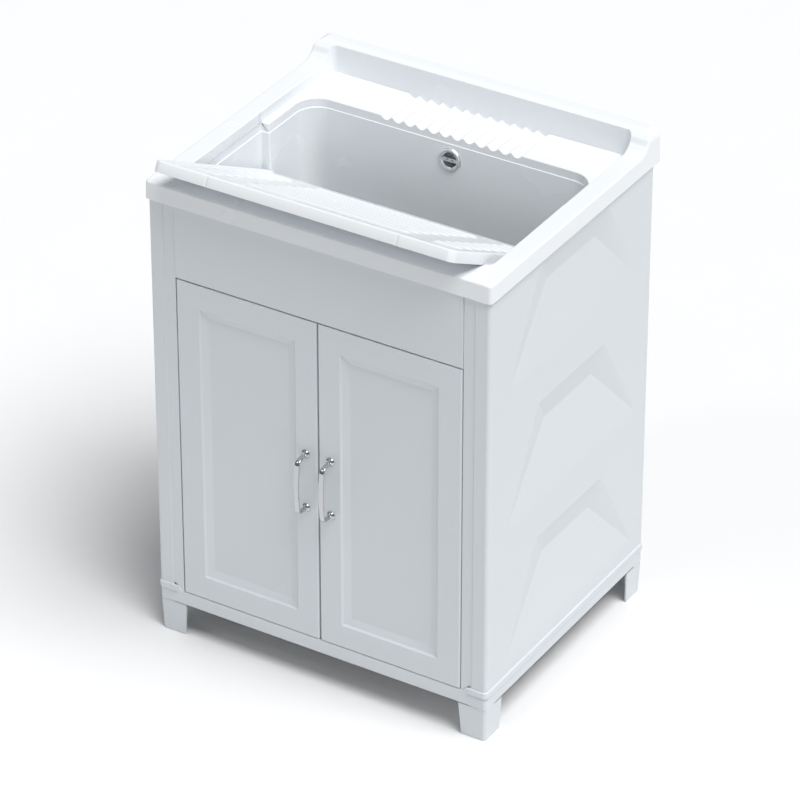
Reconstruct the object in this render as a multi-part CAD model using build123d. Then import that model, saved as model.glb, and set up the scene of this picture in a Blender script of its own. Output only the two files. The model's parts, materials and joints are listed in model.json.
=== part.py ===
from build123d import *
import math
import os

os.makedirs("parts", exist_ok=True)

# Utility laundry sink: a moulded basin with a washboard, on a two-door cabinet.
# Millimetres. -X is the left side, -Y the front, +Z up. Until save() the zero point is on the
# floor under the middle of the basin's rim.

# ---------------------------------------------------------------- driving dimensions
RIM_WIDTH = 600
RIM_DEPTH = 500
RIM_TOP = 805           # flat top of the side and front rims
SPLASH_TOP = 833        # top of the backsplash
SKIRT_HEIGHT = 30       # the rim hangs this far down over the cabinet
BASIN_WALL = 4
SKIRT_WALL = 3.7        # 0.3 clear of the cabinet inside it
BOWL_FLOOR = 495        # inside, at the drain
WALL = 3.5              # moulded cabinet parts
CABINET_INSET = 4       # cabinet sides and front behind the rim's lower edge
CABINET_BACK = 240
CORNER_RADIUS = 6       # upright corners of the cabinet
BASE_TOP = 91           # lip of the base, where the side panels stand
RAIL_TOP = 82           # front rail of the base, under the doors
RAIL_BOTTOM = 58
DOOR_BOTTOM = 83.6
DOOR_TOP = 648.5
DOOR_THICKNESS = 16
DOOR_OUTER = 249.8      # outer edge of each door from the middle
DOOR_GAP = 1.3          # inner edge of each door from the middle
POST_INNER = 251.2      # inner edge of each front post
FASCIA_BOTTOM = 651
BOARD_SLOPE = 28.1      # degrees, down towards the back
BOARD_LENGTH = 341.5    # along the slope
BOARD_HALF = 257
BOARD_SKIRT = 18
FRONT_REACH = 290       # from the rim's middle forward to the washboard's skirt
HANDLE_CENTRES = 96
DRAIN_Y = 40            # drain behind the rim's middle
PIN_RADIUS = 2.5        # door pins
PIN_INSET = 9           # pin from the door's outer edge

# ---------------------------------------------------------------- derived places
SKIRT_BOTTOM = RIM_TOP - SKIRT_HEIGHT
PANEL_X = RIM_WIDTH / 2 - CABINET_INSET
FRONT_Y = -(RIM_DEPTH / 2 - CABINET_INSET)
UNDER_RIM = RIM_TOP - BASIN_WALL
DOOR_BACK = FRONT_Y + DOOR_THICKNESS
DOOR_MIDDLE = (DOOR_BOTTOM + DOOR_TOP) / 2
PIN_X = DOOR_OUTER - PIN_INSET
PIN_Y = FRONT_Y + DOOR_THICKNESS / 2
FRAME_SHIFT = (FRONT_REACH - RIM_DEPTH / 2) / 2
SINE = math.sin(math.radians(BOARD_SLOPE))
COSINE = math.cos(math.radians(BOARD_SLOPE))
TANGENT = SINE / COSINE
REACH = 400             # longer than any cut needs


def save(name, shape):
    """Write one node, with the origin under the middle of the whole outline."""
    export_step(Pos(0, FRAME_SHIFT, 0) * shape, f"parts/{name}.step")


def block(x0, x1, y0, y1, z0, z1):
    """Box between two corners."""
    return Pos((x0 + x1) / 2, (y0 + y1) / 2, (z0 + z1) / 2) * Box(x1 - x0, y1 - y0, z1 - z0)


def rod(radius, start, direction, length):
    """Round bar from a point, along a direction."""
    place = Plane(origin=start, z_dir=direction)
    return place * Cylinder(radius, length, align=(Align.CENTER, Align.CENTER, Align.MIN))


def tube(outer, inner, start, direction, length):
    """Round tube from a point, along a direction."""
    return rod(outer, start, direction, length) - rod(inner, start, direction, length)


def turned(points):
    """Solid of revolution about Z; points are (radius, height)."""
    outline = make_face(Polyline(*[(radius, 0, height) for radius, height in points], close=True))
    return revolve(outline, Axis.Z)


def both_sides(right):
    """A piece and its mirror image, as separate solids."""
    return Compound([right, mirror(right, about=Plane.YZ)])


def ribbed_ring(outer, depth, count, z0, z1):
    """Grip ribs round a nut, about Z."""
    rib = block(outer - 1, outer + depth, -depth, depth, z0, z1)
    return [Rot(0, 0, 360 * turn / count) * rib for turn in range(count)]


def pan_screw(head_radius, head_height, shank_radius, length):
    """Screw about Z: shank downwards from zero, head above, with a cross recess."""
    head = turned([(0, 0), (head_radius, 0), (head_radius, head_height * 0.5),
                   (head_radius * 0.7, head_height), (0, head_height)])
    slot_long = head_radius * 1.1
    slot_wide = head_radius * 0.25
    slot_deep = head_height * 0.6
    slot = Pos(0, 0, head_height) * Box(slot_long, slot_wide, slot_deep)
    cross = slot + Rot(0, 0, 90) * slot
    shank = rod(shank_radius, (0, 0, -length), (0, 0, 1), length)
    return head + shank - cross


# ---------------------------------------------------------------- basin
RIM_DRAFT = 2           # degrees
RIM_CORNER = 7
RISE_START = 188        # the side rims start to rise here towards the backsplash
RISE_END = 235
RISE_LOW_RADIUS = 30
SPLASH_CORNER = 16
RIM_EDGE = 3.5          # rounding along the rim's outer top edge
DECK_Z = 786            # soap deck and the ledges beside the bowl
DECK_HALF = 267
SPLASH_FOOT = 218
SPLASH_FACE = 224
BOWL_TOP_HALF = 254.5
BOWL_FLOOR_HALF = 242
BOWL_FRONT = -203
BOWL_BACK = 136.5
BOWL_DRAW = 11.5        # the front and back walls draw in this far at the floor
BOWL_CORNER = 38
BOWL_FLOOR_CORNER = 30
BOWL_FLOOR_FILLET = 24
SHOULDER_Y = 20.2       # step in the side walls that stops the washboard
POCKET_HALF = 267
POCKET_CORNER = 20
LEDGE_START = -201.5    # the sloping ledges start at the front rim's inner edge
BAND_BOTTOM = 771       # lower edge of the fine step round the bowl
BAND_DEPTH = 1.2
RIDGES = 12
RIDGE_PITCH = 21
GROOVE_DEPTH = 5.8
OVERFLOW_Z = 745
OVERFLOW_HOLE = 13.8
DRAIN_HOLE = 23.3
DRAIN_SEAT = 36
SEAT_DEPTH = 2.5
BOSS_BOTTOM = 486

RISE_RUN = RISE_END - RISE_START
RISE_ANGLE = 2 * math.atan((SPLASH_TOP - RIM_TOP) / RISE_RUN)
RISE_HIGH_RADIUS = RISE_RUN / math.sin(RISE_ANGLE) - RISE_LOW_RADIUS
BOWL_DEPTH = RIM_TOP - BOWL_FLOOR
WALL_TILT = math.atan(BOWL_DRAW / BOWL_DEPTH)
OVERFLOW_Y = BOWL_BACK - (RIM_TOP - OVERFLOW_Z) * math.tan(WALL_TILT)


def ledge_z(y):
    """Height of the sloping ledges that carry the washboard."""
    return RIM_TOP - TANGENT * (y - LEDGE_START)


def rim_profile(inset, bottom):
    """Side view of rim and backsplash, with the swept rise of the side rims."""
    front = -RIM_DEPTH / 2 + inset
    back = RIM_DEPTH / 2 - inset
    top = RIM_TOP - inset
    crest = SPLASH_TOP - inset
    low = RISE_LOW_RADIUS + inset
    high = RISE_HIGH_RADIUS - inset
    half = RISE_ANGLE / 2
    start = (RISE_START, top)
    low_mid = (RISE_START + low * math.sin(half), top + low * (1 - math.cos(half)))
    bend = (RISE_START + low * math.sin(RISE_ANGLE), top + low * (1 - math.cos(RISE_ANGLE)))
    high_mid = (RISE_END - high * math.sin(half), crest - high * (1 - math.cos(half)))
    end = (RISE_END, crest)
    lines = [Line((front, bottom), (front, top)), Line((front, top), start),
             ThreePointArc(start, low_mid, bend), ThreePointArc(bend, high_mid, end),
             Line(end, (back, crest)), Line((back, crest), (back, bottom)),
             Line((back, bottom), (front, bottom))]
    return extrude(Plane.YZ * make_face(lines), RIM_WIDTH, both=True)


def rim_block(inset, plan_inset, bottom, draft, edge=0):
    """Outer form of rim and backsplash, drawn in by inset, with its upper edges rounded."""
    rear_margin = 40
    height = SPLASH_TOP - bottom + 10
    depth = RIM_DEPTH - plan_inset + rear_margin
    plan = Pos(0, rear_margin / 2 + plan_inset / 2, bottom) * RectangleRounded(
        RIM_WIDTH - 2 * plan_inset, depth, RIM_CORNER - plan_inset)
    form = rim_profile(inset, bottom) & extrude(plan, height, taper=draft)
    if edge:
        form = fillet([line for line in form.edges() if on_outer_top(line)], edge)
    lean = math.tan(math.radians(draft)) * (SPLASH_TOP - SKIRT_BOTTOM)
    low_half = RIM_WIDTH / 2 - plan_inset
    outline = make_face(Polyline(
        (-low_half, SKIRT_BOTTOM), (low_half, SKIRT_BOTTOM),
        (low_half - lean, SPLASH_TOP - inset), (-low_half + lean, SPLASH_TOP - inset), close=True))
    outline = fillet(outline.vertices().group_by(Axis.Y)[-1], SPLASH_CORNER - inset)
    outline += Pos(0, SKIRT_BOTTOM - 50) * Rectangle(RIM_WIDTH, 100)
    return form & extrude(Plane.XZ * outline, RIM_DEPTH, both=True)


def outer_rim(edge=0):
    return rim_block(0, 0, SKIRT_BOTTOM, RIM_DRAFT, edge)


def bowl_form(grow, top, bottom):
    """Tapering bowl with rounded corners, drawn out by grow all round."""
    def section(z):
        rise = (z - BOWL_FLOOR) / BOWL_DEPTH
        half = BOWL_FLOOR_HALF + rise * (BOWL_TOP_HALF - BOWL_FLOOR_HALF)
        corner = BOWL_FLOOR_CORNER + rise * (BOWL_CORNER - BOWL_FLOOR_CORNER)
        depth = BOWL_BACK - BOWL_FRONT - 2 * (1 - rise) * BOWL_DRAW
        return Pos(0, (BOWL_BACK + BOWL_FRONT) / 2, z) * RectangleRounded(
            2 * (half + grow), depth + 2 * grow, corner + grow)
    well = loft([section(bottom), section(top)], ruled=True)
    return fillet(well.faces().sort_by(Axis.Z)[0].edges(), BOWL_FLOOR_FILLET)


def board_pocket(grow, top):
    """Wedge that lets the washboard into the bowl, over the sloping ledges."""
    back = SHOULDER_Y + grow
    front = BOWL_FRONT - grow
    plan = Pos(0, (front + back) / 2, 0) * Rectangle(2 * (POCKET_HALF + grow), back - front)
    plan = fillet(plan.vertices().group_by(Axis.Y)[0], POCKET_CORNER + grow)
    upright = Pos(0, 0, BOWL_FLOOR) * extrude(plan, REACH)
    drop = grow / COSINE
    wedge = make_face(Polyline((front, ledge_z(front) - drop), (back, ledge_z(back) - drop),
                               (back, SPLASH_TOP + 20), (front, SPLASH_TOP + 20), close=True))
    low_part = block(-REACH, REACH, -REACH, REACH, 0, top)
    return upright & extrude(Plane.YZ * wedge, REACH, both=True) & low_part


def deck_recess(grow):
    """Sunk area in front of the backsplash: the soap deck and the ledges beside the bowl."""
    front = SHOULDER_Y - 4 - grow
    side_draw = 1.5
    top = SPLASH_TOP + 1

    def section(z, half, back):
        width = 2 * (half + grow)
        depth = back + grow - front
        plan = Pos(0, (back + grow + front) / 2, z) * Rectangle(width, depth)
        return fillet(plan.vertices().group_by(Axis.Y)[-1], 12 + grow)
    lower = section(DECK_Z - grow, DECK_HALF, SPLASH_FOOT)
    upper = section(top, DECK_HALF + side_draw, SPLASH_FACE)
    return loft([lower, upper], ruled=True)


def deck_grooves():
    """Twelve rounded grooves across the soap deck, side by side."""
    first = -RIDGES * RIDGE_PITCH / 2
    crest = 1.0
    shoulder = 5.5
    shoulder_z = DECK_Z - GROOVE_DEPTH * 0.66
    lines = []
    for index in range(RIDGES):
        x = first + index * RIDGE_PITCH
        left = (x + crest, DECK_Z)
        left_low = (x + shoulder, shoulder_z)
        floor = (x + RIDGE_PITCH / 2, DECK_Z - GROOVE_DEPTH)
        right_low = (x + RIDGE_PITCH - shoulder, shoulder_z)
        right = (x + RIDGE_PITCH - crest, DECK_Z)
        lines += [Line(left, left_low), ThreePointArc(left_low, floor, right_low),
                  Line(right_low, right)]
        if index < RIDGES - 1:
            lines.append(Line(right, (x + RIDGE_PITCH + crest, DECK_Z)))
    last = (-first - crest, DECK_Z)
    above = DECK_Z + 3
    lines += [Line(last, (last[0], above)), Line((last[0], above), (first + crest, above)),
              Line((first + crest, above), (first + crest, DECK_Z))]
    cut = Plane.XZ * make_face(lines)
    return Pos(0, SPLASH_FOOT, 0) * extrude(cut, SPLASH_FOOT - BOWL_BACK + 8)


def overflow_place():
    """Plane on the bowl's back wall, facing into the bowl."""
    inward = (0, -math.cos(WALL_TILT), math.sin(WALL_TILT))
    return Plane(origin=(0, OVERFLOW_Y, OVERFLOW_Z), x_dir=(1, 0, 0), z_dir=inward)


def make_basin():
    shell = outer_rim(RIM_EDGE) - rim_block(BASIN_WALL, SKIRT_WALL, SKIRT_BOTTOM - 1, 0)
    walls = bowl_form(BASIN_WALL, RIM_TOP - 2, BOWL_FLOOR - BASIN_WALL)
    walls += board_pocket(BASIN_WALL, RIM_TOP - 2)
    walls += deck_recess(BASIN_WALL) & outer_rim()
    ridge_half = RIDGES * RIDGE_PITCH / 2 + BASIN_WALL
    walls += block(-ridge_half, ridge_half, BOWL_BACK, SPLASH_FOOT + 2,
                   DECK_Z - GROOVE_DEPTH - BASIN_WALL, DECK_Z - 1)
    walls += rod(DRAIN_SEAT + 6, (0, DRAIN_Y, BOSS_BOTTOM), (0, 0, 1), BOWL_FLOOR - BOSS_BOTTOM)
    basin = shell + walls
    basin -= deck_recess(0)
    basin -= board_pocket(0, REACH * 3)
    basin -= bowl_form(0, RIM_TOP + 1, BOWL_FLOOR)
    band = block(-REACH, REACH, LEDGE_START, REACH, BAND_BOTTOM, DECK_Z + 1)
    basin -= bowl_form(BAND_DEPTH, RIM_TOP + 1, BOWL_FLOOR) & band
    basin -= board_pocket(BAND_DEPTH, REACH * 3) & band
    basin -= deck_grooves()
    basin -= overflow_place() * Cylinder(OVERFLOW_HOLE, 40)
    basin -= rod(DRAIN_HOLE, (0, DRAIN_Y, BOSS_BOTTOM - 1), (0, 0, 1), 20)
    basin -= rod(DRAIN_SEAT, (0, DRAIN_Y, BOWL_FLOOR - SEAT_DEPTH), (0, 0, 1), SEAT_DEPTH + 1)
    return basin


def on_outer_top(edge):
    """True for the edges round the outside of the rim's top and over the backsplash."""
    spot = edge.center()
    outside = abs(spot.X) > RIM_WIDTH / 2 - 6 or spot.Y < -RIM_DEPTH / 2 + 6
    over_back = spot.Z > SPLASH_TOP - 12
    return spot.Z > RIM_TOP - 3 and (outside or over_back) and spot.Y < RIM_DEPTH / 2 - 1


# ---------------------------------------------------------------- washboard
BOARD_THICKNESS = 5.5   # at the bead round the edge
BOARD_SKIN = 3
BOARD_CORNER = 12
BOARD_EDGE = 2.5
BOARD_LIFT = 0.5        # clearance over the ledges
BEAD_WIDTH = 11.5
BEAD_FRONT = 18
FIELD_SINK = 2.6        # the ribbed field lies this far below the bead
FIRST_RIB = 78
RIB_PITCH = 30.6
RIBS = 8
RIB_CHORD = 20
RIB_HEIGHT = 2.9
RIB_SPANS = ((-231, -181), (-143, 143), (181, 231))
SEAM_X = 163            # faint upright lines on the front skirt

BOARD_Y = -FRONT_REACH + BOARD_SKIRT * SINE
BOARD_Z = ledge_z(-FRONT_REACH) + BOARD_LIFT / COSINE + BOARD_SKIRT * COSINE


def board_outline(side, front, rear, corner):
    """Plan of the board or a part of it, rounded at the front corners."""
    plan = Pos(0, (front + rear) / 2, 0) * Rectangle(2 * (BOARD_HALF - side), rear - front)
    return fillet(plan.vertices().group_by(Axis.Y)[0], corner)


def board_rib(x0, x1, y):
    """Low rounded rib with domed ends, standing on the sunk field."""
    half = RIB_CHORD / 2
    arch = make_face([ThreePointArc((y - half, 0), (y, RIB_HEIGHT), (y + half, 0)),
                      Line((y + half, 0), (y - half, 0))])
    bar = Pos(x0 + half, 0, 0) * extrude(Plane.YZ * arch, x1 - x0 - RIB_CHORD)
    radius = (half ** 2 + RIB_HEIGHT ** 2) / (2 * RIB_HEIGHT)
    middle = (half / 2, RIB_HEIGHT - radius + math.sqrt(radius ** 2 - half ** 2 / 4))
    quarter = make_face([ThreePointArc((0, RIB_HEIGHT), middle, (half, 0)),
                         Line((half, 0), (0, 0)), Line((0, 0), (0, RIB_HEIGHT))])
    dome = revolve(Plane.XZ * quarter, Axis.Z)
    rib = bar + Pos(x0 + half, y, 0) * dome + Pos(x1 - half, y, 0) * dome
    return Pos(0, 0, -FIELD_SINK - 0.05) * rib


def make_washboard():
    """Ribbed board with a bead and a skirt on three sides, open at the back."""
    past = BOARD_LENGTH + 5
    board = extrude(board_outline(0, 0, BOARD_LENGTH, BOARD_CORNER), -BOARD_SKIRT)
    top_edges = board.faces().sort_by(Axis.Z)[-1].edges()
    board = fillet([edge for edge in top_edges if edge.center().Y < BOARD_LENGTH - 1], BOARD_EDGE)
    hollow = board_outline(BOARD_SKIN, BOARD_SKIN, past, BOARD_CORNER - BOARD_SKIN)
    board -= Pos(0, 0, -BOARD_THICKNESS) * extrude(hollow, -BOARD_SKIRT)
    field = board_outline(BEAD_WIDTH, BEAD_FRONT, past, BOARD_CORNER - 5)
    board -= Pos(0, 0, -FIELD_SINK) * extrude(field, FIELD_SINK + 1)
    for row in range(RIBS):
        for x0, x1 in RIB_SPANS:
            board += board_rib(x0, x1, FIRST_RIB + row * RIB_PITCH)
    for x in (-SEAM_X, SEAM_X):
        board -= block(x - 0.6, x + 0.6, -1, 0.35, -BOARD_SKIRT - 1, -BOARD_EDGE)
    return Pos(0, BOARD_Y, BOARD_Z) * Rot(-BOARD_SLOPE, 0, 0) * board


# ---------------------------------------------------------------- cabinet
REAR_FLANGE = 24
POST_STEP_X = 270.6     # the inner strip of each post lies back from here inwards
POST_STEP = 1.2
FACETS = 3
FACET_BASE = 116.5      # foot of the lowest recess
FACET_PITCH = 240.5
FACET_TOP = 174         # upper edge above the foot
FACET_DEEPEST = 131
FACET_SINK = 8
FACET_FOOT = (-188, 199)
FACET_HEAD = (-100, 97)
FACET_FOLD = (-70, 72)
SWAY_OUTER = 263        # the base's lip drops between these two places to the rail's top
SWAY_INNER = 254
RAIL_SCREW_X = 282
FASCIA_SCREW_X = 276
UPPER_RAIL = (690, 760)
LOWER_RAIL = (112, 172)
RAIL_DEPTH = 18
FASCIA_SCREW_Z = (680, 745)


def facet(base):
    """Sunk trapezium on the right side: flat at its foot, deepest along a fold near its top."""
    def spot(y, z, sink):
        return Vector(PANEL_X - sink, y, base + z)
    foot_front, foot_back = (spot(y, 0, 0) for y in FACET_FOOT)
    head_front, head_back = (spot(y, FACET_TOP, 0) for y in FACET_HEAD)
    fold_front, fold_back = (spot(y, FACET_DEEPEST, FACET_SINK) for y in FACET_FOLD)
    loops = [(foot_front, foot_back, head_back, head_front),
             (foot_front, fold_front, fold_back, foot_back),
             (fold_front, head_front, head_back, fold_back),
             (foot_front, head_front, fold_front), (foot_back, fold_back, head_back)]
    faces = [Face(Wire.make_polygon(loop, close=True)) for loop in loops]
    return Solid(Shell(faces))


def lip_line(clearance):
    """Region under the base's top line at the right front corner, seen from the front."""
    top = BASE_TOP + clearance
    low = RAIL_TOP + clearance
    sway = make_face(Polyline((0, 0), (REACH, 0), (REACH, top), (SWAY_OUTER, top),
                              (SWAY_INNER, low), (0, low), close=True))
    bends = [spot for spot in sway.vertices()
             if SWAY_INNER - 1 < spot.X < SWAY_OUTER + 1 and spot.Y > low - 1]
    return fillet(bends, 5)


def make_side_panel():
    """Right side panel: front post, faceted side and rear flange in one moulding."""
    def plan(inset):
        x_in = POST_INNER - (20 if inset else 0)
        shape = Pos((x_in + PANEL_X - inset) / 2, (FRONT_Y + CABINET_BACK) / 2, 0) * Rectangle(
            PANEL_X - inset - x_in, CABINET_BACK - FRONT_Y - 2 * inset)
        front = shape.vertices().sort_by_distance((PANEL_X, FRONT_Y, 0))[0]
        shape = fillet(front, CORNER_RADIUS - inset)
        back = shape.vertices().sort_by_distance((PANEL_X, CABINET_BACK, 0))[0]
        return fillet(back, CORNER_RADIUS - inset)
    height = UNDER_RIM - RAIL_TOP
    panel = Pos(0, 0, RAIL_TOP) * (extrude(plan(0), height) - extrude(plan(WALL), height))
    flange_edge = PANEL_X - REAR_FLANGE
    panel -= block(0, flange_edge, 0, REACH, 0, REACH * 3)
    below = extrude(Plane.XZ * lip_line(0), REACH, both=True) & block(
        0, REACH, -REACH, FRONT_Y + WALL + 0.01, 0, REACH)
    below += block(0, REACH, FRONT_Y + WALL, REACH, 0, BASE_TOP)
    panel -= below
    panel -= block(0, POST_STEP_X, FRONT_Y - 1, FRONT_Y + POST_STEP, 0, REACH * 3)
    for index in range(FACETS):
        sunk = facet(FACET_BASE + index * FACET_PITCH)
        panel += Pos(-WALL, 0, 0) * sunk
        panel -= sunk
    for z in FASCIA_SCREW_Z:
        panel -= rod(1.9, (FASCIA_SCREW_X, FRONT_Y + 1.5, z), (0, 1, 0), 10)
    for z in rail_screw_heights():
        panel -= rod(2.2, (RAIL_SCREW_X, CABINET_BACK + 1, z), (0, -1, 0), 10)
    return panel


def rail_screw_heights():
    """Two screws at each end of each rear rail."""
    margin = 16
    heights = []
    for low, high in (UPPER_RAIL, LOWER_RAIL):
        heights += [low + margin, high - margin]
    return heights


def make_fascia():
    """Front panel over the doors, with tabs behind the posts and a folded lower edge."""
    half = POST_INNER - 0.4
    tab_half = POST_INNER + 31
    flange_depth = 34
    fascia = block(-half, half, FRONT_Y, FRONT_Y + WALL, FASCIA_BOTTOM, UNDER_RIM)
    fascia += block(-half, half, FRONT_Y, FRONT_Y + flange_depth, FASCIA_BOTTOM,
                    FASCIA_BOTTOM + WALL)
    tab_back = FRONT_Y + 2 * WALL
    tab = block(half - 14, tab_half, FRONT_Y + WALL, tab_back, FASCIA_BOTTOM + 6, SKIRT_BOTTOM - 6)
    stiffener = block(-half + 14, half - 14, FRONT_Y + WALL, FRONT_Y + flange_depth * 0.5,
                      UNDER_RIM - 8, UNDER_RIM - 8 + WALL)
    boss = rod(6, (PIN_X, PIN_Y, FASCIA_BOTTOM), (0, 0, 1), 14)
    fascia += tab + mirror(tab, about=Plane.YZ) + stiffener + boss
    fascia += mirror(boss, about=Plane.YZ)
    for x in (-1, 1):
        fascia -= rod(PIN_RADIUS, (x * PIN_X, PIN_Y, FASCIA_BOTTOM - 1), (0, 0, 1), 13)
        for z in FASCIA_SCREW_Z:
            fascia -= rod(2.1, (x * FASCIA_SCREW_X, FRONT_Y + 1, z), (0, 1, 0), 10)
        fascia -= rod(1.6, (x * CATCH_SCREW_X, CATCH_Y, FASCIA_BOTTOM - 1), (0, 0, 1), 6)
    return fascia


def make_rear_rail(span):
    """Folded rail between the rear flanges of the side panels."""
    low, high = span
    half = PANEL_X - CORNER_RADIUS - 0.5
    back = CABINET_BACK - WALL
    rail = block(-half, half, back - WALL, back, low, high)
    for z in (low, high - WALL):
        rail += block(-half + 24, half - 24, back - RAIL_DEPTH, back, z, z + WALL)
    stations = 4
    for index in range(stations):
        x = -half + 24 + (index + 1) * (2 * half - 48) / (stations + 1)
        rail += block(x - 1.5, x + 1.5, back - RAIL_DEPTH, back, low, high)
    for z in (low + 16, high - 16):
        for x in (-RAIL_SCREW_X, RAIL_SCREW_X):
            rail -= rod(1.9, (x, CABINET_BACK, z), (0, -1, 0), 14)
    return rail


LIP_PROUD = 2
LIP_BOTTOM = 77.5
LEDGE_TOP = 77.5
LEDGE_WIDTH = 24
FLOOR_THICKNESS = 6
FOOT_TOP_WIDTH = 49
FOOT_BOTTOM_WIDTH = 42.5
FOOT_TAPER = 2


def foot_section(z, corner_in, width):
    """L-shaped section of the right front foot at one height."""
    x = PANEL_X - corner_in
    y = FRONT_Y + corner_in
    plan = make_face(Polyline((x - width, y), (x, y), (x, y + width), (x - WALL, y + width),
                              (x - WALL, y + WALL), (x - width, y + WALL), close=True))
    outer = plan.vertices().sort_by_distance((x, y, 0))[0]
    plan = fillet(outer, CORNER_RADIUS)
    inner = plan.vertices().sort_by_distance((x - WALL, y + WALL, 0))[0]
    return Pos(0, 0, z) * fillet(inner, CORNER_RADIUS - WALL)


def make_base():
    """Base ring with lip, floor ledge, locating ribs and four tapering L-section feet."""
    def ring(x_half, y_front, y_back, radius, wall, z0, z1):
        depth = y_back - y_front
        middle = (y_back + y_front) / 2
        outer = Pos(0, middle, z0) * RectangleRounded(2 * x_half, depth, radius)
        inner = Pos(0, middle, z0) * RectangleRounded(
            2 * (x_half - wall), depth - 2 * wall, max(radius - wall, 1))
        return extrude(outer, z1 - z0) - extrude(inner, z1 - z0)
    base = ring(PANEL_X, FRONT_Y, CABINET_BACK, CORNER_RADIUS, WALL, RAIL_BOTTOM, BASE_TOP)
    lip = ring(PANEL_X + LIP_PROUD, FRONT_Y - LIP_PROUD, CABINET_BACK + LIP_PROUD,
               CORNER_RADIUS + LIP_PROUD, LIP_PROUD + 1, LIP_BOTTOM, BASE_TOP)
    lip_edges = [edge for edge in lip.faces().sort_by(Axis.Z)[-1].edges()
                 + lip.faces().sort_by(Axis.Z)[0].edges()
                 if outside_of(edge, PANEL_X, FRONT_Y, CABINET_BACK)]
    lip = chamfer(lip_edges, LIP_PROUD * 0.9)
    base += lip - block(-SWAY_OUTER, SWAY_OUTER, -REACH, 0, 0, REACH)
    below = extrude(Plane.XZ * lip_line(0), REACH, both=True)
    below += mirror(below, about=Plane.YZ)
    front_zone = block(-REACH, REACH, -REACH, FRONT_Y + 30, 0, REACH)
    rear_zone = block(-REACH, REACH, FRONT_Y + 30, REACH, 0, REACH)
    base = (base & below & front_zone) + (base & rear_zone)
    base += ring(PANEL_X - 1, FRONT_Y + 1, CABINET_BACK - 1, CORNER_RADIUS - 1, LEDGE_WIDTH,
                 LEDGE_TOP - WALL, LEDGE_TOP)
    rib_x = PANEL_X - WALL - 0.3
    for x0, x1 in ((rib_x - 2.5, rib_x), (-rib_x, -rib_x + 2.5)):
        base += block(x0, x1, -200, 200, LEDGE_TOP - 1, BASE_TOP + 13)
    foot = loft([foot_section(0, FOOT_TAPER, FOOT_BOTTOM_WIDTH),
                 foot_section(RAIL_BOTTOM + 2, 0, FOOT_TOP_WIDTH)], ruled=True)
    middle = (FRONT_Y + CABINET_BACK) / 2
    rear_foot = mirror(foot, about=Plane.XZ.offset(-middle))
    for piece in (foot, rear_foot):
        base += piece + mirror(piece, about=Plane.YZ)
    boss = rod(6, (PIN_X, PIN_Y, LEDGE_TOP - 10), (0, 0, 1), RAIL_TOP - LEDGE_TOP + 10)
    base += boss + mirror(boss, about=Plane.YZ)
    for x in (-1, 1):
        base -= rod(PIN_RADIUS, (x * PIN_X, PIN_Y, LEDGE_TOP - 8), (0, 0, 1), 20)
    return base


def outside_of(edge, x_half, y_front, y_back):
    """True for an edge that lies outside a plan rectangle."""
    spot = edge @ 0.5
    return abs(spot.X) > x_half + 0.5 or spot.Y < y_front - 0.5 or spot.Y > y_back + 0.5


def make_floor():
    """Ribbed shelf that lies on the base's ledge."""
    half = PANEL_X - WALL - 6
    back = CABINET_BACK - WALL - 20
    front = DOOR_BACK + 2
    shelf = block(-half, half, front, back, LEDGE_TOP, LEDGE_TOP + FLOOR_THICKNESS)
    slots = 9
    inner = PANEL_X - LEDGE_WIDTH - 6
    for index in range(slots):
        x = -inner + (index + 0.5) * 2 * inner / slots
        shelf -= block(x - 24, x + 24, front + 26, back - 26, LEDGE_TOP - 1, LEDGE_TOP + 3)
    return shelf


# ---------------------------------------------------------------- doors
MOULD_SIDE = (39, 210)  # outer edge of the sunk moulding, from the middle
MOULD_HEIGHT = (123, 607.5)
MOULD_CHAMFER = 3       # slanting outer edge, as deep as it is wide
MOULD_DEPTH = 6.5
MOULD_WIDTH = 15
DOOR_WALL = 3
INNER_ROUND = 2.5       # front edge beside the middle gap
DOOR_RIBS = 4
BORE_RADIUS = 2.55
HANDLE_X = 22
STRIKE_X = (8, 34)
STRIKE_Z = (631, 645)
CATCH_SCREW_X = 35
CATCH_FRONT = DOOR_BACK + 2.6
CATCH_BOTTOM = STRIKE_Z[0] + 1
CATCH_Y = CATCH_FRONT + 8
MAGNET = 5


def moulding(grow, deeper):
    """Recess of the right door: a slanting edge, then a long slope; grow and deeper make the
    skin behind it."""
    def sheet(margin, y):
        x0, x1 = MOULD_SIDE[0] + margin - grow, MOULD_SIDE[1] - margin + grow
        z0, z1 = MOULD_HEIGHT[0] + margin - grow, MOULD_HEIGHT[1] - margin + grow
        return Plane.XZ.offset(-y) * (Pos((x0 + x1) / 2, (z0 + z1) / 2) * Rectangle(
            x1 - x0, z1 - z0))
    if deeper:
        start = [sheet(0, FRONT_Y + 1), sheet(0, FRONT_Y + deeper)]
    else:
        start = [sheet(-1, FRONT_Y - 1)]
    return loft(start + [sheet(MOULD_CHAMFER, FRONT_Y + MOULD_CHAMFER + deeper),
                         sheet(MOULD_WIDTH, FRONT_Y + MOULD_DEPTH + deeper)], ruled=True)


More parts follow.
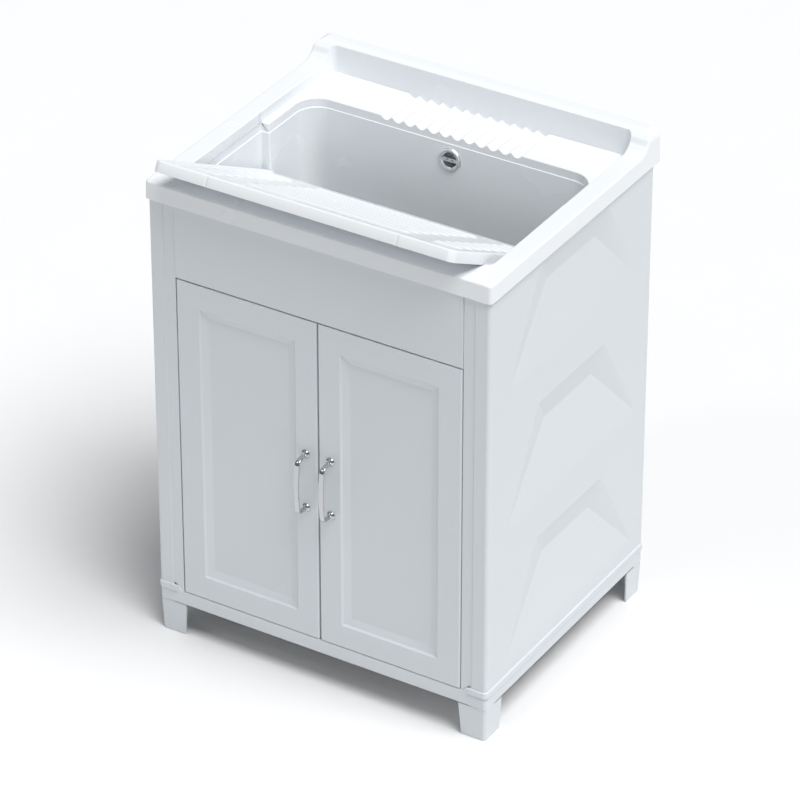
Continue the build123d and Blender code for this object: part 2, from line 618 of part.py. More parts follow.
def make_door():
    """Right door: moulded skin with a sunk moulding, edge walls, ribs and bosses behind."""
    door = block(DOOR_GAP, DOOR_OUTER, FRONT_Y, DOOR_BACK, DOOR_BOTTOM, DOOR_TOP)
    outer_edges = [edge for edge in door.edges().filter_by(Axis.Z)
                   if edge.center().X > DOOR_OUTER - 1]
    door = fillet(outer_edges, 3)
    for y, radius in ((FRONT_Y, INNER_ROUND), (DOOR_BACK, 1)):
        inner_edge = [edge for edge in door.edges().filter_by(Axis.Z)
                      if edge.center().X < DOOR_GAP + 0.5 and abs(edge.center().Y - y) < 0.5]
        door = fillet(inner_edge, radius)
    hollow = block(DOOR_GAP + DOOR_WALL, DOOR_OUTER - DOOR_WALL, FRONT_Y + WALL, DOOR_BACK + 1,
                   DOOR_BOTTOM + DOOR_WALL, DOOR_TOP - DOOR_WALL)
    ribs = []
    for index in range(DOOR_RIBS):
        z = DOOR_BOTTOM + (index + 1) * (DOOR_TOP - DOOR_BOTTOM) / (DOOR_RIBS + 1)
        ribs.append(block(DOOR_GAP + 1, DOOR_OUTER - 1, FRONT_Y + 1, DOOR_BACK - 1,
                          z - 1.25, z + 1.25))
    centre = (DOOR_GAP + DOOR_OUTER) / 2
    ribs.append(block(centre - 1.25, centre + 1.25, FRONT_Y + 1, DOOR_BACK - 1,
                      DOOR_BOTTOM + 1, DOOR_TOP - 1))
    pin_half = 6
    for z0, z1 in ((DOOR_BOTTOM, DOOR_BOTTOM + 22), (DOOR_TOP - 22, DOOR_TOP)):
        ribs.append(block(PIN_X - pin_half, DOOR_OUTER - 1, FRONT_Y + 1, DOOR_BACK - 1, z0, z1))
    ribs.append(block(DOOR_GAP + 1, STRIKE_X[1] + 3, FRONT_Y + 1, DOOR_BACK,
                      STRIKE_Z[0] - 3, DOOR_TOP - 1))
    for z in handle_heights():
        ribs.append(rod(6, (HANDLE_X, FRONT_Y + 1, z), (0, 1, 0), 11))
    door -= hollow
    door += moulding(WALL, WALL) & block(0, REACH, FRONT_Y + 0.5, DOOR_BACK, 0, REACH * 3)
    for rib in ribs:
        door += rib
    door -= moulding(0, 0)
    for z in (DOOR_BOTTOM - 1, DOOR_TOP - 16):
        door -= rod(BORE_RADIUS, (PIN_X, PIN_Y, z), (0, 0, 1), 17)
    for z in handle_heights():
        door -= rod(2.2, (HANDLE_X, FRONT_Y - 1, z), (0, 1, 0), 20)
    for x in strike_screws():
        door -= rod(1.4, (x, DOOR_BACK + 1, sum(STRIKE_Z) / 2), (0, -1, 0), 10)
    return door


def handle_heights():
    """Heights of a handle's two feet."""
    return (DOOR_MIDDLE - HANDLE_CENTRES / 2, DOOR_MIDDLE + HANDLE_CENTRES / 2)


def strike_screws():
    """Two screws through each strike plate."""
    return (STRIKE_X[0] + 5, STRIKE_X[1] - 5)


def make_handle():
    """Bow handle of the right door: flat grip, round feet with collars."""
    half = HANDLE_CENTRES / 2
    elbow_out = 24
    bow_out = 28.5
    section_wide = 9
    section_thick = 4.5
    points = [(FRONT_Y, half), (FRONT_Y - elbow_out, half - 2), (FRONT_Y - bow_out, 0),
              (FRONT_Y - elbow_out, -half + 2), (FRONT_Y, -half)]
    path = FilletPolyline(*[(HANDLE_X, y, DOOR_MIDDLE + z) for y, z in points],
                          radius=[9, 160, 9])
    start = Plane(origin=path @ 0, x_dir=(1, 0, 0), z_dir=path % 0)
    bow = sweep(start * RectangleRounded(section_wide, section_thick, 1.8), path)
    handle = bow
    collar = turned([(0, 0), (7.5, 0), (7.5, 1.2), (6.2, 2.8), (4.8, 4.5), (0, 4.5)])
    for z in handle_heights():
        place = Plane(origin=(HANDLE_X, FRONT_Y, z), z_dir=(0, -1, 0))
        handle += place * collar
    handle &= block(0, REACH, -REACH, FRONT_Y, 0, REACH * 2)
    for z in handle_heights():
        handle -= rod(2.05, (HANDLE_X, FRONT_Y + 1, z), (0, -1, 0), 14)
    return handle


def make_handle_screws():
    screw = pan_screw(4.2, 2.6, 2.0, 22)
    seat_y = FRONT_Y + 12
    solids = [Plane(origin=(HANDLE_X, seat_y, z), z_dir=(0, 1, 0)) * screw
              for z in handle_heights()]
    return Compound(solids)


def make_strike():
    """Steel plate on the door's back for the magnet, with two screw holes."""
    plate = block(STRIKE_X[0], STRIKE_X[1], DOOR_BACK, DOOR_BACK + 1, STRIKE_Z[0], STRIKE_Z[1])
    for x in strike_screws():
        plate -= rod(1.6, (x, DOOR_BACK - 1, sum(STRIKE_Z) / 2), (0, 1, 0), 4)
    return plate


def make_catch():
    """Block under the fascia that holds one magnet for each door."""
    back = CATCH_FRONT + 14
    catch = block(-40, 40, CATCH_FRONT, back, CATCH_BOTTOM, FASCIA_BOTTOM)
    for x0, x1 in magnet_spans():
        catch -= block(x0, x1, CATCH_FRONT - 1, CATCH_FRONT + MAGNET, STRIKE_Z[0] + 3,
                       STRIKE_Z[1] - 2)
    for x in (-CATCH_SCREW_X, CATCH_SCREW_X):
        catch -= rod(1.8, (x, CATCH_Y, 0), (0, 0, 1), REACH * 2)
    return catch


def magnet_spans():
    inner, outer = 12, 30
    return ((-outer, -inner), (inner, outer))


def make_magnets():
    return Compound([block(x0, x1, CATCH_FRONT, CATCH_FRONT + MAGNET, STRIKE_Z[0] + 3,
                           STRIKE_Z[1] - 2) for x0, x1 in magnet_spans()])


def make_catch_screws():
    screw = pan_screw(3.2, 2, 1.5, 22)
    return Compound([Plane(origin=(x, CATCH_Y, CATCH_BOTTOM), z_dir=(0, 0, -1)) * screw
                     for x in (-CATCH_SCREW_X, CATCH_SCREW_X)])


def make_strike_screws():
    screw = pan_screw(2.6, 1.2, 1.3, 8)
    seat = DOOR_BACK + 1
    return Compound([Plane(origin=(x, seat, sum(STRIKE_Z) / 2), z_dir=(0, 1, 0)) * screw
                     for x in strike_screws()])


def make_pins():
    """Four steel pins: a pair in the fascia and a pair in the base."""
    upper = rod(PIN_RADIUS, (PIN_X, PIN_Y, DOOR_TOP - 14), (0, 0, 1), 14 + 14)
    lower = rod(PIN_RADIUS, (PIN_X, PIN_Y, LEDGE_TOP - 8), (0, 0, 1), 28)
    return Compound([upper, mirror(upper, about=Plane.YZ), lower, mirror(lower, about=Plane.YZ)])


def make_washers():
    washer = tube(5.5, PIN_RADIUS + 0.05, (PIN_X, PIN_Y, RAIL_TOP), (0, 0, 1),
                  DOOR_BOTTOM - RAIL_TOP - 0.2)
    return both_sides(washer)


# ---------------------------------------------------------------- fasteners of the cabinet
def make_fascia_screws():
    screw = pan_screw(4, 2.4, 1.8, 4.5)
    seat = FRONT_Y + 2 * WALL
    places = [Plane(origin=(x, seat, z), z_dir=(0, 1, 0))
              for x in (-FASCIA_SCREW_X, FASCIA_SCREW_X) for z in FASCIA_SCREW_Z]
    return Compound([place * screw for place in places])


def make_rail_screws():
    screw = pan_screw(4.5, 2.6, 1.8, 12)
    places = [Plane(origin=(x, CABINET_BACK, z), z_dir=(0, 1, 0))
              for x in (-RAIL_SCREW_X, RAIL_SCREW_X) for z in rail_screw_heights()]
    return Compound([place * screw for place in places])


# ---------------------------------------------------------------- overflow
RING_RADIUS = 20
RING_BORE = 12.5
RING_PROUD = 3
PIPE_OUTER = 11
PIPE_INNER = 9.2
SPIGOT = 9
INLET_Z = 463


def make_overflow_ring():
    """Round grille with a bar across, and a sleeve through the bowl's wall."""
    ring = turned([(RING_BORE, -8), (RING_BORE + 1, -8), (RING_BORE + 1, 0), (RING_RADIUS, 0),
                   (RING_RADIUS, 1), (RING_RADIUS - 1.2, RING_PROUD - 0.4),
                   (RING_RADIUS - 3, RING_PROUD), (RING_BORE + 1.5, RING_PROUD - 0.3),
                   (RING_BORE, RING_PROUD - 1.5)])
    bar = block(-RING_BORE - 0.5, RING_BORE + 0.5, -3.2, 3.2, -0.6, 1.6)
    ring += bar
    for x in (-4.5, 4.5):
        ring -= rod(1.1, (x, 0, -2), (0, 0, 1), 6)
        ring -= rod(2.0, (x, 0, 0.8), (0, 0, 1), 3)
    return overflow_place() * ring


def make_overflow_screws():
    screw = pan_screw(1.8, 0.8, 1.0, 18)
    return Compound([overflow_place() * (Pos(x, 0, 0.8) * screw) for x in (-4.5, 4.5)])


def make_overflow_gasket():
    return overflow_place() * tube(21, 14.2, (0, 0, -BASIN_WALL - 2.5), (0, 0, 1), 2.5)


def overflow_mouth():
    """Middle of the elbow's chamber."""
    return overflow_place().from_local_coords((0, 0, -18))


def make_overflow_elbow():
    """Chamber behind the wall, with two screw posts and a spigot downwards."""
    back = -BASIN_WALL - 2.5
    body = rod(21, (0, 0, back - 2.5), (0, 0, 1), 2.5) + rod(17, (0, 0, -28), (0, 0, 1), 21)
    chamber = rod(14.5, (0, 0, -25.5), (0, 0, 1), 30)
    body -= chamber
    bridge = block(-14.6, 14.6, -3, 3, -25.5, -15)
    for x in (-4.5, 4.5):
        bridge -= rod(1.1, (x, 0, -20), (0, 0, 1), 8)
    mouth = overflow_mouth()
    down = (0, 0, -1)
    spigot = rod(SPIGOT, (mouth.X, mouth.Y, mouth.Z - 13), down, 26)
    spigot -= overflow_place() * chamber
    bore = rod(SPIGOT - 1.8, (mouth.X, mouth.Y, mouth.Z - 12), down, 40)
    return overflow_place() * body + spigot - bore + overflow_place() * bridge


def make_overflow_pipe():
    """Pipe from the elbow down behind the bowl and forward to the waste body."""
    mouth = overflow_mouth()
    top = mouth.Z - 22
    points = [(0, mouth.Y, top), (0, mouth.Y, INLET_Z), (0, DRAIN_Y + 32, INLET_Z)]
    path = FilletPolyline(*points, radius=34)
    place = Plane(origin=points[0], x_dir=(1, 0, 0), z_dir=(0, 0, -1))
    return sweep(place * (Circle(PIPE_OUTER) - Circle(PIPE_INNER)), path)


# ---------------------------------------------------------------- waste and trap
THROAT_TOP = 21.5
THROAT_LOW = 19.5
GRID_Z = 474
OUTLET_Z = 360
OUTLET_RADIUS = 20
OUTLET_END = 246        # the outlet pipe ends just behind the cabinet
OUTLET_FREE = 40        # length that a sleeve or socket slides over
DRAIN = Pos(0, DRAIN_Y, 0)


def make_strainer():
    """Flanged strainer: a seat for the plug above a grid."""
    flange_z = BOWL_FLOOR - SEAT_DEPTH
    body = turned([(THROAT_LOW, GRID_Z - 2), (23, GRID_Z - 2), (23, flange_z), (35, flange_z),
                   (35, flange_z + 1.1), (26, flange_z + 2.3), (THROAT_TOP, flange_z + 1.4),
                   (THROAT_LOW, GRID_Z + 4)])
    grid = rod(THROAT_LOW + 1, (0, 0, GRID_Z), (0, 0, 1), 3) - rod(3.2, (0, 0, 0), (0, 0, 1), 800)
    holes = 6
    for turn in range(holes):
        grid -= Rot(0, 0, 360 * turn / holes) * rod(4, (12.5, 0, 0), (0, 0, 1), 800)
    return DRAIN * (body + grid)


def make_plug():
    """Rubber plug with a rim and a ring-shaped pull."""
    flange_z = BOWL_FLOOR - SEAT_DEPTH
    gap = 0.35
    body = turned([(0, GRID_Z + 9), (THROAT_LOW - gap, GRID_Z + 9),
                   (THROAT_TOP - gap, flange_z + 1.4), (25, flange_z + 2.7),
                   (25, flange_z + 4.5), (22, flange_z + 6.5), (0, flange_z + 7.5)])
    pull_z = flange_z + 13
    pull = Pos(0, 0, pull_z) * Rot(90, 0, 0) * Torus(6.5, 1.6)
    return DRAIN * (body + pull)


def make_waste_body():
    """Cup under the bowl, with a bridge for the screw, a side inlet and an outlet."""
    top = BOSS_BOTTOM - 2.5
    wall_in, wall_out = 24, 29
    body = turned([(16.3, 428), (20, 428), (20, 441), (wall_out, 450), (wall_out, 475),
                   (33, 478), (33, top), (wall_in, top), (wall_in, 452), (16.3, 444)])
    bridge_z, bridge_half = 456, 3.5
    bridge = block(-wall_in - 2, wall_in + 2, -bridge_half, bridge_half, bridge_z, bridge_z + 5)
    bridge += rod(7, (0, 0, bridge_z), (0, 0, 1), 8)
    bridge -= rod(3.05, (0, 0, bridge_z - 6), (0, 0, 1), 20)
    inlet = rod(SPIGOT, (0, wall_in + 2, INLET_Z), (0, 1, 0), 24)
    bore = rod(SPIGOT - 1.8, (0, wall_in - 4, INLET_Z), (0, 1, 0), 40)
    return DRAIN * (body + bridge + inlet - bore)


def make_waste_screw():
    screw = pan_screw(5.5, 3, 3, 22)
    return DRAIN * (Pos(0, 0, GRID_Z + 3) * screw)


def union_nut(tight, loose, height):
    """Union nut about Z: a small bore below a threaded one, with grip ribs."""
    outer = loose + 5
    half = height / 2
    body = turned([(tight, 0), (outer - 1.5, 0), (outer, 1.5), (outer, height), (loose, height),
                   (loose, half), (tight, half)])
    for rib in ribbed_ring(outer, 1.6, 12, 2, height - 0.5):
        body += rib
    return body


def make_trap_body():
    """Bottle trap's upper half: neck, dip tube, chamber and outlet socket."""
    body = turned([(16.3, 304), (18.8, 304), (18.8, 384), (29, 384), (29, 322), (32, 322),
                   (32, 386), (30, 388), (20, 388), (20, 406), (16.3, 406)])
    socket = rod(OUTLET_RADIUS + 3.2, (0, 20, OUTLET_Z), (0, 1, 0), 34)
    core = rod(29, (0, 0, 324), (0, 0, 1), 60)
    body += socket - core
    return DRAIN * (body - (rod(OUTLET_RADIUS + 0.2, (0, 24, OUTLET_Z), (0, 1, 0), 40)))


def make_trap_cup():
    """Screw-off cup of the bottle trap."""
    cup = turned([(0, 268), (30, 268), (32, 271), (32, 314), (36.5, 316), (36.5, 334), (32.3, 334),
                  (32.3, 320), (29, 320), (29, 272), (0, 272)])
    for rib in ribbed_ring(36.5, 1.6, 16, 317, 333):
        cup += rib
    return DRAIN * cup


def make_tailpiece():
    return DRAIN * tube(16, 14, (0, 0, 392), (0, 0, 1), 56)


def make_outlet_pipe():
    """Pipe out through the open back, with a stop ring for the sleeve that slides on."""
    start = DRAIN_Y + 36
    bore = OUTLET_RADIUS - 2
    pipe = tube(OUTLET_RADIUS, bore, (0, start, OUTLET_Z), (0, 1, 0), OUTLET_END - start)
    stop_width = 4
    stop_start = OUTLET_END - OUTLET_FREE - stop_width
    return pipe + tube(OUTLET_RADIUS + 2, bore, (0, stop_start, OUTLET_Z), (0, 1, 0), stop_width)


def make_outlet_nut():
    nut = union_nut(OUTLET_RADIUS + 0.3, OUTLET_RADIUS + 3.4, 18)
    place = Plane(origin=(0, DRAIN_Y + 63, OUTLET_Z), x_dir=(1, 0, 0), z_dir=(0, -1, 0))
    return place * nut


# ---------------------------------------------------------------- write the nodes
right_panel = make_side_panel()
right_door = make_door()
right_handle = make_handle()
right_screws = make_handle_screws()
right_strike = make_strike()
right_strike_screws = make_strike_screws()

save("basin", make_basin())
save("washboard", make_washboard())
save("side_panel_right", right_panel)
save("side_panel_left", mirror(right_panel, about=Plane.YZ))
save("front_fascia", make_fascia())
save("rear_rail_upper", make_rear_rail(UPPER_RAIL))
save("rear_rail_lower", make_rear_rail(LOWER_RAIL))
save("base_frame", make_base())
save("cabinet_floor", make_floor())
save("door_right", right_door)
save("door_left", mirror(right_door, about=Plane.YZ))
save("handle_right", right_handle)
save("handle_left", mirror(right_handle, about=Plane.YZ))
save("handle_screws_right", right_screws)
save("handle_screws_left", mirror(right_screws, about=Plane.YZ))
save("strike_plate_right", right_strike)
save("strike_plate_left", mirror(right_strike, about=Plane.YZ))
save("catch_block", make_catch())
save("catch_magnets", make_magnets())
save("catch_screws", make_catch_screws())
save("strike_screws_right", right_strike_screws)
save("strike_screws_left", mirror(right_strike_screws, about=Plane.YZ))
save("hinge_pins", make_pins())
save("hinge_washers", make_washers())
save("fascia_screws", make_fascia_screws())
save("rail_screws", make_rail_screws())
save("overflow_ring", make_overflow_ring())
save("overflow_screws", make_overflow_screws())
save("overflow_gasket", make_overflow_gasket())
save("overflow_elbow", make_overflow_elbow())
save("overflow_pipe", make_overflow_pipe())
save("waste_strainer", make_strainer())
save("waste_gasket", DRAIN * tube(33, 23.2, (0, 0, BOSS_BOTTOM - 2.5), (0, 0, 1), 2.5))
save("waste_body", make_waste_body())
save("waste_screw", make_waste_screw())
save("drain_plug", make_plug())
save("tailpiece", make_tailpiece())
save("tailpiece_nut", DRAIN * (Pos(0, 0, 418) * union_nut(16.4, 20.4, 18)))
save("trap_inlet_nut", DRAIN * (Pos(0, 0, 416) * Rot(180, 0, 0) * union_nut(16.4, 20.4, 18)))
save("trap_body", make_trap_body())
save("trap_seal", DRAIN * tube(31.9, 29.3, (0, 0, 320), (0, 0, 1), 2))
save("trap_cup", make_trap_cup())
save("outlet_pipe", make_outlet_pipe())
save("outlet_nut", make_outlet_nut())
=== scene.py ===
# %% [markdown]
# # A laundry sink in white moulded plastic
# The frame is the imported CAD model: every piece is already in its place, in metres.

# %% Open the frame
import bmesh
import bpy
import json
import math
import numpy as np
from mathutils import Matrix, Vector


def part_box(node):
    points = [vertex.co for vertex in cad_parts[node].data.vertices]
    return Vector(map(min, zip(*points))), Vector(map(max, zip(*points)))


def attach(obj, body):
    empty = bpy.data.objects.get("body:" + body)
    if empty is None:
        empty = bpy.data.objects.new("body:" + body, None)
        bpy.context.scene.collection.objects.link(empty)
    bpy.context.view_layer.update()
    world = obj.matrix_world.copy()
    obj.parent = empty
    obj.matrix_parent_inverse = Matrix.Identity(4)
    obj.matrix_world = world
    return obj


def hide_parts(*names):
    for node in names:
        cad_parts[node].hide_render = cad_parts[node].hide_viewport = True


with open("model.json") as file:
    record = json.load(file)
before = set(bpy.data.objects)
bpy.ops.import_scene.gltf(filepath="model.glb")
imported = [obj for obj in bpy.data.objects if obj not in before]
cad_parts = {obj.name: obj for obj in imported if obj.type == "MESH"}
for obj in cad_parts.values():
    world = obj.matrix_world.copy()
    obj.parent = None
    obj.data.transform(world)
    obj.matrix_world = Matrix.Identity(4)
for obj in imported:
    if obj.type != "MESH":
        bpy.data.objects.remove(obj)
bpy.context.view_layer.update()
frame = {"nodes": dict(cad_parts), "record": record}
nodes = frame["nodes"]
bodies = frame["record"]["behaviour"]["bodies"]
body_of = {node: body for body, members in bodies.items() for node in members}

# %% [markdown]
# ## The camera
# A small sink photographed from far away with a long lens hardly narrows towards the back. The
# camera could be placed by eye, but the edges of the cabinet give its bearing, its height and its
# lens, so those numbers are used: it stands 7.3 m off, to the right and above, and is aimed a
# little aside of the sink's middle, as the photograph is.

# %% Camera at the photograph's angle
FOCAL_PIXELS = 4748
FRAME_PIXELS = 800
SENSOR_WIDTH = 36
BEARING, HEIGHT_ANGLE, ROLL = (math.radians(angle) for angle in (31.49, 31.96, 0.02))
AIM = Vector((0, 0.020, 0.430))
DISTANCE, ASIDE, DOWN = 7.289, 0.0057, 0.0376

backward = Vector((math.sin(BEARING) * math.cos(HEIGHT_ANGLE),
                   -math.cos(BEARING) * math.cos(HEIGHT_ANGLE), math.sin(HEIGHT_ANGLE)))
level = Vector((math.cos(BEARING), math.sin(BEARING), 0))
upward = backward.cross(level)
across = math.cos(ROLL) * level + math.sin(ROLL) * upward
upward = math.cos(ROLL) * upward - math.sin(ROLL) * level
eye = AIM + DISTANCE * backward - ASIDE * across - DOWN * upward

camera_data = bpy.data.cameras.new("camera")
camera_data.sensor_width = SENSOR_WIDTH
camera_data.lens = FOCAL_PIXELS / FRAME_PIXELS * SENSOR_WIDTH
camera = bpy.data.objects.new("camera", camera_data)
bpy.context.scene.collection.objects.link(camera)
turn = Matrix((across, upward, backward)).transposed().to_4x4()
camera.matrix_world = Matrix.Translation(eye) @ turn
bpy.context.scene.camera = camera
print("lens", round(camera_data.lens, 1), "mm, eye at", [round(v, 3) for v in eye])

# %% [markdown]
# ## Floor and light
# White plastic shows its form only by how bright each side is: tops nearly white, the right side
# light grey and the front a cooler, darker grey. A bright sky all round would flatten that, so
# one soft lamp high on the right makes the order. A second one, small and faint, stands at the
# front left and picks out the slopes of the door mouldings. The pale floor fills the rest from
# below. The sky is dim, and darker at the horizon, so that the chrome has something to mirror.

# %% Floor, lamps and sky
FLOOR_SIZE = 30
FLOOR_GAP = 0.0005
# Name, a place in the lamp's direction, its width in the sky in degrees, its strength.
LAMPS = (("lamp_key", (1.95, -0.55, 4.2), 34, 3.0),
         ("lamp_edge", (-1.77, -2.1, 2.9), 7, 0.15))
# Height of a view ray's direction (its Z), and the sky's colour there.
SKY = ((0.0, (0.06, 0.062, 0.066)), (0.75, (0.34, 0.35, 0.36)))


def link(piece):
    """Put a new object into the scene."""
    bpy.context.scene.collection.objects.link(piece)
    return piece


def lamp(name, place, width, strength):
    """A soft far lamp that shines from a place towards the origin and lights the whole floor
    evenly, as wide in the sky as width degrees."""
    data = bpy.data.lights.new(name, "SUN")
    data.angle = math.radians(width)
    data.energy = strength
    lit = link(bpy.data.objects.new(name, data))
    lit.location = place
    lit.rotation_euler = (-Vector(place)).to_track_quat("-Z", "Y").to_euler()


half = FLOOR_SIZE / 2
floor_mesh = bpy.data.meshes.new("floor")
floor_mesh.from_pydata([(-half, -half, 0), (half, -half, 0), (half, half, 0), (-half, half, 0)],
                       [], [(0, 1, 2, 3)])
floor = link(bpy.data.objects.new("floor", floor_mesh))
floor.location.z = -FLOOR_GAP

for lamp_values in LAMPS:
    lamp(*lamp_values)

sky = bpy.data.worlds.new("sky")
bpy.context.scene.world = sky
sky.use_nodes = True
sky_nodes, sky_links = sky.node_tree.nodes, sky.node_tree.links
ray = sky_nodes.new("ShaderNodeTexCoord")
parts = sky_nodes.new("ShaderNodeSeparateXYZ")
shade = sky_nodes.new("ShaderNodeValToRGB")
for stop, (height, colour) in zip(shade.color_ramp.elements, SKY):
    stop.position = height
    stop.color = (*colour, 1)
sky_links.new(ray.outputs["Generated"], parts.inputs[0])
sky_links.new(parts.outputs["Z"], shade.inputs[0])
sky_links.new(shade.outputs["Color"], sky_nodes["Background"].inputs["Color"])
sky_nodes["Background"].inputs["Strength"].default_value = 1.0
bpy.context.scene.view_settings.view_transform = "Standard"
print("floor", FLOOR_SIZE, "m wide,", len(LAMPS), "lamps")

# %% [markdown]
# ## Finishes
# A new moulding is not one flat colour. Its gloss varies where the mould was polished, its skin
# has a faint orange peel, and handling leaves fine rub marks. Each finish is a small set of
# noises on Object coordinates, so a pattern has the same size in millimetres on every piece.
# The few calls that all finishes share are kept in a class that holds the material.

# %% Helpers for node trees
class Finish:
    """A material and short calls that add nodes to it."""

    def __init__(self, name, colour, roughness, metallic=0.0):
        """A plain material of one colour and roughness, for the noises to change."""
        self.material = bpy.data.materials.new(name)
        self.material.use_nodes = True
        self.tree = self.material.node_tree
        self.shader = self.tree.nodes["Principled BSDF"]
        self.set("Base Color", (*colour, 1))
        self.set("Roughness", roughness)
        self.set("Metallic", metallic)
        place = self.tree.nodes.new("ShaderNodeTexCoord")
        self.place = place.outputs["Object"]

    def set(self, socket, value):
        """Give one of the shader's sockets a fixed value."""
        self.shader.inputs[socket].default_value = value

    def join(self, source, target):
        """Link an output socket to an input socket."""
        self.tree.links.new(source, target)

    def stretched(self, scale):
        """Object coordinates, scaled differently along each axis."""
        node = self.tree.nodes.new("ShaderNodeMapping")
        node.inputs["Scale"].default_value = scale
        self.join(self.place, node.inputs["Vector"])
        return node.outputs["Vector"]

    def noise(self, scale, detail=3, place=None):
        """Noise with this many blobs to the metre."""
        node = self.tree.nodes.new("ShaderNodeTexNoise")
        node.inputs["Scale"].default_value = scale
        node.inputs["Detail"].default_value = detail
        self.join(place or self.place, node.inputs["Vector"])
        return node.outputs["Fac"]

    def spread(self, source, low, high, start=0.35, end=0.65):
        """Stretch a noise to run from low to high."""
        node = self.tree.nodes.new("ShaderNodeMapRange")
        node.interpolation_type = "SMOOTHSTEP"
        for socket, value in (("From Min", start), ("From Max", end), ("To Min", low),
                              ("To Max", high)):
            node.inputs[socket].default_value = value
        self.join(source, node.inputs["Value"])
        return node.outputs["Result"]

    def sum(self, first, second):
        """The first value plus the second: what a Math node does unless told otherwise."""
        node = self.tree.nodes.new("ShaderNodeMath")
        self.join(first, node.inputs[0])
        self.join(second, node.inputs[1])
        return node.outputs[0]

    def blend(self, amount, first, second):
        """Colour that goes from the first to the second as amount goes from 0 to 1."""
        node = self.tree.nodes.new("ShaderNodeMix")
        node.data_type = "RGBA"
        node.inputs["A"].default_value = (*first, 1)
        node.inputs["B"].default_value = (*second, 1)
        self.join(amount, node.inputs["Factor"])
        return node.outputs["Result"]

    def relief(self, height, depth, strength=1.0):
        """Bump whose full height is this many metres."""
        node = self.tree.nodes.new("ShaderNodeBump")
        node.inputs["Distance"].default_value = depth
        node.inputs["Strength"].default_value = strength
        self.join(height, node.inputs["Height"])
        self.join(node.outputs["Normal"], self.shader.inputs["Normal"])


# %% [markdown]
# ### Moulded plastic
# The basin is a glossy resin, the cabinet a slightly cooler and duller plastic. The cabinet's
# colour is also darker than the basin's: painted shade, which makes its upright faces look less
# lit. Both come from one function: cloudy colour one to five percent deep, gloss that wanders,
# rub marks that run every way, and an orange peel whose waves are two millimetres long and at
# most a tenth of a millimetre high. On the basin and its washboard it is far lower still, because
# a face that is seen almost edge-on would sparkle.

# %% Moulded plastics
PEEL_SCALE, WAVE_SCALE = 520, 11
RUB_SCALE = 90
TINT_SCALE, GLOSS_SCALE = 3.2, 9
GLOSS_SWING = 0.02
PLASTIC_IOR = 1.5


def moulded(name, colour, cloud, roughness, peel, rub):
    """Moulded plastic. Roughness is a base, plus slow clouds that swing GLOSS_SWING up and down,
    plus rub marks where one of two noises, stretched along different axes, is above its middle.
    The bump is the sum of a fine and a wide noise, peel metres high."""
    finish = Finish(name, colour, roughness)
    slow = finish.noise(TINT_SCALE, 2)
    tint = finish.blend(finish.spread(slow, 0, 1, 0.2, 0.8), colour, cloud)
    finish.join(tint, finish.shader.inputs["Base Color"])
    long_marks = finish.noise(RUB_SCALE, 6, finish.stretched((1.0, 7.0, 1.6)))
    cross_marks = finish.noise(RUB_SCALE, 6, finish.stretched((5.0, 1.0, 9.0)))
    marks = finish.sum(finish.spread(long_marks, 0, rub, 0.56, 0.72),
                       finish.spread(cross_marks, 0, rub, 0.58, 0.74))
    clouds = finish.spread(finish.noise(GLOSS_SCALE, 2), roughness - GLOSS_SWING,
                           roughness + GLOSS_SWING, 0.2, 0.8)
    finish.join(finish.sum(clouds, marks), finish.shader.inputs["Roughness"])
    fine = finish.noise(PEEL_SCALE, 2)
    wide = finish.noise(WAVE_SCALE, 1)
    finish.relief(finish.sum(fine, wide), peel, 0.6)
    finish.set("IOR", PLASTIC_IOR)
    return finish.material


basin_white = moulded("basin_white", (0.86, 0.887, 0.91), (0.85, 0.878, 0.902), 0.26,
                      0.000004, 0.003)
# The cabinet's colour is darker than the basin's: painted shade for its upright faces.
cabinet_white = moulded("cabinet_white", (0.70, 0.735, 0.765), (0.69, 0.724, 0.755), 0.36,
                        0.00003, 0.015)
inner_white = moulded("inner_white", (0.80, 0.81, 0.82), (0.76, 0.77, 0.785), 0.52, 0.0001, 0.08)
pipe_white = moulded("pipe_white", (0.78, 0.79, 0.79), (0.74, 0.75, 0.75), 0.45, 0.00008, 0.10)
print("plastics", [white.name for white in (basin_white, cabinet_white, inner_white, pipe_white)])

# %% [markdown]
# ### Metal and rubber
# Chrome is a mirror with a thin veil of wipe marks and water spots. The overflow ring is satin:
# the same metal with more roughness and a lighter colour. The screws, pins and strike plates are
# plain steel with a drawn grain. Rubber is dull, with a bloom of lighter dust.

# %% Metals and rubber
SPOT_SCALE, WIPE_SCALE, RIPPLE_SCALE = 260, 90, 300
GRAIN_SCALE, STAIN_SCALE = 900, 40
STAIN_SHADE = 0.86
BLOOM_SCALE, DUST_SCALE, SKIN_SCALE = 60, 400, 700


def chromed(name, colour, gloss):
    """Bright metal: an even roughness, raised in round spots and along fine wipe marks."""
    finish = Finish(name, colour, gloss, 1.0)
    spots = finish.spread(finish.noise(SPOT_SCALE, 2), 0, 0.10, 0.60, 0.68)
    wipes = finish.spread(finish.noise(WIPE_SCALE, 5, finish.stretched((1, 1, 9))),
                          gloss - 0.03, gloss + 0.04)
    finish.join(finish.sum(spots, wipes), finish.shader.inputs["Roughness"])
    finish.relief(finish.noise(RIPPLE_SCALE, 2), 0.00001, 0.5)
    return finish.material


def drawn_steel(name, colour, roughness):
    """Steel with a grain drawn along Z, and stains that are STAIN_SHADE times as light."""
    finish = Finish(name, colour, roughness, 1.0)
    grain = finish.noise(GRAIN_SCALE, 4, finish.stretched((1, 1, 0.05)))
    finish.join(finish.spread(grain, roughness - 0.1, roughness + 0.12),
                finish.shader.inputs["Roughness"])
    tint = finish.blend(finish.spread(finish.noise(STAIN_SCALE, 4), 0, 1), colour,
                        tuple(STAIN_SHADE * part for part in colour))
    finish.join(tint, finish.shader.inputs["Base Color"])
    finish.relief(grain, 0.00003, 0.6)
    return finish.material


